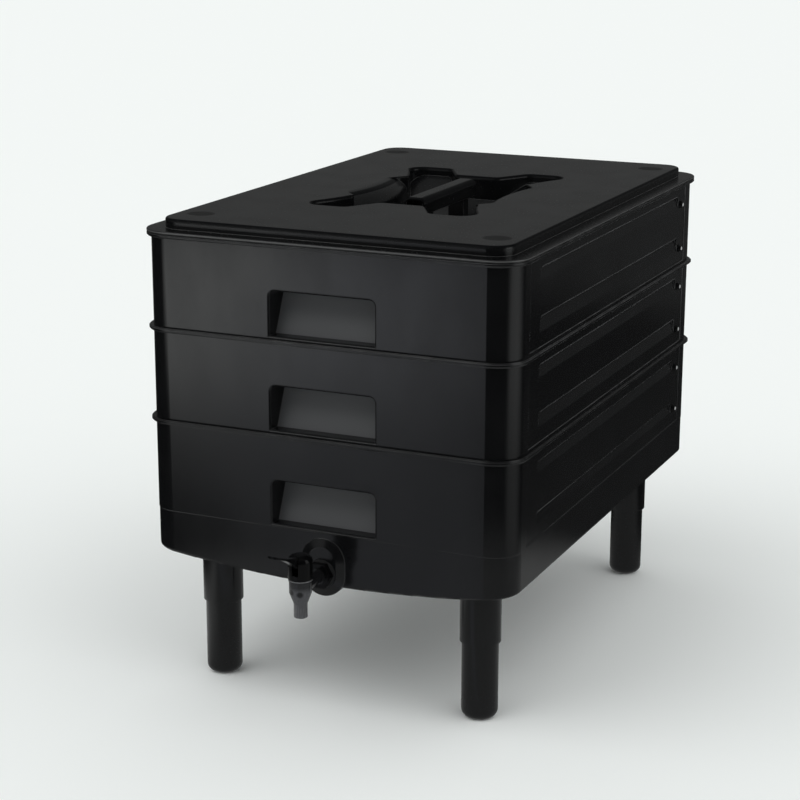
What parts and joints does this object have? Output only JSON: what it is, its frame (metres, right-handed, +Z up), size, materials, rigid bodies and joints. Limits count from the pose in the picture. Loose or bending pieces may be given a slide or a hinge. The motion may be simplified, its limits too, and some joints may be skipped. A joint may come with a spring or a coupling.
{
  "type": "wormery",
  "caption": "Stacking worm composter: lid with a well handle, perforated trays, reservoir base on plug-in legs, press-lever tap.",
  "frame": {"origin": "on the ground, under the middle of the whole footprint with the tap", "axes": "+Z up, front with the tap towards -Y, +X to the right seen from the front"},
  "size_m": [0.4, 0.6856, 0.4838],
  "materials": {
    "body_black": "satin moulded polypropylene",
    "tap_black": "glossy moulded plastic",
    "smoke": "smoky translucent plastic",
    "rubber": "soft rubber",
    "steel": "stainless"
  },
  "bodies": {
    "base": {"base": "body_black", "leg_front_left": "body_black", "leg_front_right": "body_black", "leg_back_left": "body_black", "leg_back_right": "body_black", "tap_body": "smoke", "tap_bonnet": "tap_black", "tap_nozzle": "smoke", "lever_pin": "steel", "tap_washer_outer": "rubber", "tap_washer_inner": "rubber", "tap_front_nut": "tap_black", "tap_lock_nut": "tap_black", "valve_spring": "steel"},
    "middle_tray": {"middle_tray": "body_black"},
    "upper_tray": {"upper_tray": "body_black"},
    "lid": {"lid": "body_black", "lid_handle": "body_black"},
    "lever": {"tap_lever": "tap_black"},
    "valve": {"valve_stem": "tap_black", "valve_seal": "rubber"}
  },
  "joints": [
    {"name": "middle_tray_lift", "type": "slide", "parent": "base", "child": "middle_tray", "axis": [0, 0, 1], "range_m": [0, 0.16]},
    {"name": "upper_tray_lift", "type": "slide", "parent": "middle_tray", "child": "upper_tray", "axis": [0, 0, 1], "range_m": [0, 0.16]},
    {"name": "lid_lift", "type": "slide", "parent": "upper_tray", "child": "lid", "axis": [0, 0, 1], "range_m": [0, 0.2]},
    {"name": "lever_press", "type": "hinge", "parent": "base", "child": "lever", "pos_m": [0, -0.29375, 0.172], "axis": [1, 0, 0], "range_deg": [0, 20], "stiffness_Nm_per_rad": 0.3, "springref_deg": -8.59},
    {"name": "valve_lift", "type": "slide", "parent": "base", "child": "valve", "axis": [0, 0, 1], "range_m": [0, 0.003], "deforming": ["valve_spring"]}
  ],
  "couplings": [
    {"joint": "valve_lift", "follows": "lever_press", "m_per_rad": 0.008}
  ]
}
